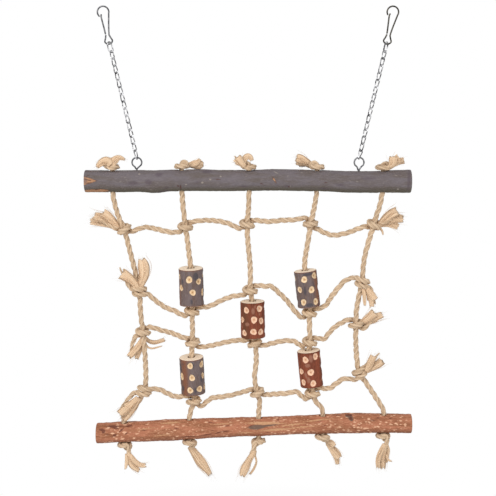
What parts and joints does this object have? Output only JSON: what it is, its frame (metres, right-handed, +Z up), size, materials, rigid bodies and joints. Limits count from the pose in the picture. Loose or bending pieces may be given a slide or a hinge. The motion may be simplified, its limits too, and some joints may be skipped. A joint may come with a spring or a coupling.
{
  "type": "bird climbing wall",
  "caption": "Hanging rope-net climbing wall for cage birds: sisal ropes knotted between two bark-covered bars, with drilled wooden blocks, and chains ending in snap hooks.",
  "frame": {"origin": "midway between the two points where the snap hooks hang, on the line that both hang from", "axes": "+Z up, +X along the bars to the right as seen from the front, +Y away from the front"},
  "size_m": [0.2749, 0.0204, 0.3941],
  "materials": {
    "grey_bark": "grey-brown bark with pale sawn ends",
    "red_bark": "reddish-brown bark with pale flecks",
    "sisal": "natural twisted fibre, frayed at the ends",
    "nickel_steel": "nickel-plated wire"
  },
  "bodies": {
    "hooks": {"hook_left": "nickel_steel", "hook_right": "nickel_steel"},
    "gate_left": {"hook_gate_left": "nickel_steel"},
    "gate_right": {"hook_gate_right": "nickel_steel"},
    "rings": {"ring_left": "nickel_steel", "ring_right": "nickel_steel"},
    "links_01": {"link_left_01": "nickel_steel", "link_right_01": "nickel_steel"},
    "links_02": {"link_left_02": "nickel_steel", "link_right_02": "nickel_steel"},
    "links_03": {"link_left_03": "nickel_steel", "link_right_03": "nickel_steel"},
    "links_04": {"link_left_04": "nickel_steel", "link_right_04": "nickel_steel"},
    "links_05": {"link_left_05": "nickel_steel", "link_right_05": "nickel_steel"},
    "links_06": {"link_left_06": "nickel_steel", "link_right_06": "nickel_steel"},
    "links_07": {"link_left_07": "nickel_steel", "link_right_07": "nickel_steel"},
    "links_08": {"link_left_08": "nickel_steel", "link_right_08": "nickel_steel"},
    "links_09": {"link_left_09": "nickel_steel", "link_right_09": "nickel_steel"},
    "links_10": {"link_left_10": "nickel_steel", "link_right_10": "nickel_steel"},
    "links_11": {"link_left_11": "nickel_steel", "link_right_11": "nickel_steel"},
    "links_12": {"link_left_12": "nickel_steel", "link_right_12": "nickel_steel"},
    "links_13": {"link_left_13": "nickel_steel", "link_right_13": "nickel_steel"},
    "links_14": {"link_left_14": "nickel_steel", "link_right_14": "nickel_steel"},
    "links_15": {"link_left_15": "nickel_steel", "link_right_15": "nickel_steel"},
    "wall": {"top_bar": "grey_bark", "screw_eye_left": "nickel_steel", "screw_eye_right": "nickel_steel", "upright_rope_1": "sisal", "upright_rope_2": "sisal", "upright_rope_3": "sisal", "upright_rope_4": "sisal", "upright_rope_5": "sisal", "cross_rope_1": "sisal", "cross_rope_2": "sisal", "cross_rope_3": "sisal", "cross_rope_4": "sisal"},
    "bottom_rail": {"bottom_bar": "red_bark", "bottom_knot_1": "sisal", "bottom_knot_2": "sisal", "bottom_knot_3": "sisal", "bottom_knot_4": "sisal", "bottom_knot_5": "sisal"},
    "block_upper_left": {"block_upper_left": "grey_bark"},
    "block_upper_right": {"block_upper_right": "grey_bark"},
    "block_centre": {"block_centre": "red_bark"},
    "block_lower_left": {"block_lower_left": "grey_bark"},
    "block_lower_right": {"block_lower_right": "red_bark"}
  },
  "joints": [
    {"name": "gate_left_open", "type": "hinge", "parent": "hooks", "child": "gate_left", "pos_m": [-0.11603, 0, -0.02182], "axis": [0, 1, 0], "range_deg": [0, 16], "stiffness_Nm_per_rad": 0.02, "springref_deg": -8.59},
    {"name": "gate_right_open", "type": "hinge", "parent": "hooks", "child": "gate_right", "pos_m": [0.11317, 0, -0.02132], "axis": [0, 1, 0], "range_deg": [0, 16], "stiffness_Nm_per_rad": 0.02, "springref_deg": -8.59},
    {"name": "rings_swing", "type": "hinge", "parent": "hooks", "child": "rings", "pos_m": [0, 0, -0.0286], "axis": [1, 0, 0], "range_deg": [-10, 10]},
    {"name": "links_01_swing", "type": "hinge", "parent": "rings", "child": "links_01", "pos_m": [0, 0, -0.03528], "axis": [1, 0, 0], "range_deg": [-10, 10]},
    {"name": "links_02_swing", "type": "hinge", "parent": "links_01", "child": "links_02", "pos_m": [0, 0, -0.04106], "axis": [1, 0, 0], "range_deg": [-10, 10]},
    {"name": "links_03_swing", "type": "hinge", "parent": "links_02", "child": "links_03", "pos_m": [0, 0, -0.04684], "axis": [1, 0, 0], "range_deg": [-10, 10]},
    {"name": "links_04_swing", "type": "hinge", "parent": "links_03", "child": "links_04", "pos_m": [0, 0, -0.05262], "axis": [1, 0, 0], "range_deg": [-10, 10]},
    {"name": "links_05_swing", "type": "hinge", "parent": "links_04", "child": "links_05", "pos_m": [0, 0, -0.0584], "axis": [1, 0, 0], "range_deg": [-10, 10]},
    {"name": "links_06_swing", "type": "hinge", "parent": "links_05", "child": "links_06", "pos_m": [0, 0, -0.06419], "axis": [1, 0, 0], "range_deg": [-10, 10]},
    {"name": "links_07_swing", "type": "hinge", "parent": "links_06", "child": "links_07", "pos_m": [0, 0, -0.06997], "axis": [1, 0, 0], "range_deg": [-10, 10]},
    {"name": "links_08_swing", "type": "hinge", "parent": "links_07", "child": "links_08", "pos_m": [0, 0, -0.07575], "axis": [1, 0, 0], "range_deg": [-10, 10]},
    {"name": "links_09_swing", "type": "hinge", "parent": "links_08", "child": "links_09", "pos_m": [0, 0, -0.08153], "axis": [1, 0, 0], "range_deg": [-10, 10]},
    {"name": "links_10_swing", "type": "hinge", "parent": "links_09", "child": "links_10", "pos_m": [0, 0, -0.08731], "axis": [1, 0, 0], "range_deg": [-10, 10]},
    {"name": "links_11_swing", "type": "hinge", "parent": "links_10", "child": "links_11", "pos_m": [0, 0, -0.09309], "axis": [1, 0, 0], "range_deg": [-10, 10]},
    {"name": "links_12_swing", "type": "hinge", "parent": "links_11", "child": "links_12", "pos_m": [0, 0, -0.09888], "axis": [1, 0, 0], "range_deg": [-10, 10]},
    {"name": "links_13_swing", "type": "hinge", "parent": "links_12", "child": "links_13", "pos_m": [0, 0, -0.10466], "axis": [1, 0, 0], "range_deg": [-10, 10]},
    {"name": "links_14_swing", "type": "hinge", "parent": "links_13", "child": "links_14", "pos_m": [0, 0, -0.11044], "axis": [1, 0, 0], "range_deg": [-10, 10]},
    {"name": "links_15_swing", "type": "hinge", "parent": "links_14", "child": "links_15", "pos_m": [0, 0, -0.11622], "axis": [1, 0, 0], "range_deg": [-10, 10]},
    {"name": "wall_swing", "type": "hinge", "parent": "links_15", "child": "wall", "pos_m": [0, 0, -0.122], "axis": [1, 0, 0], "range_deg": [-60, 60]},
    {"name": "bottom_rail_swing", "type": "hinge", "parent": "wall", "child": "bottom_rail", "pos_m": [0, 0, -0.3423], "axis": [0.9995, 0, 0.0329], "range_deg": [-60, 60]},
    {"name": "block_upper_left_spin", "type": "hinge", "parent": "wall", "child": "block_upper_left", "pos_m": [-0.04765, 0, -0.2305], "axis": [-0.0226, 0, 0.9997], "continuous": true},
    {"name": "block_upper_right_spin", "type": "hinge", "parent": "wall", "child": "block_upper_right", "pos_m": [0.0497, 0, -0.2318], "axis": [-0.1161, 0, 0.9932], "continuous": true},
    {"name": "block_centre_spin", "type": "hinge", "parent": "wall", "child": "block_centre", "pos_m": [0.00405, 0, -0.2581], "axis": [-0.0226, 0, 0.9997], "continuous": true},
    {"name": "block_lower_left_spin", "type": "hinge", "parent": "wall", "child": "block_lower_left", "pos_m": [-0.04735, 0, -0.3071], "axis": [-0.0483, 0, 0.9988], "continuous": true},
    {"name": "block_lower_right_spin", "type": "hinge", "parent": "wall", "child": "block_lower_right", "pos_m": [0.0529, 0, -0.30055], "axis": [-0.103, 0, 0.9947], "continuous": true}
  ]
}
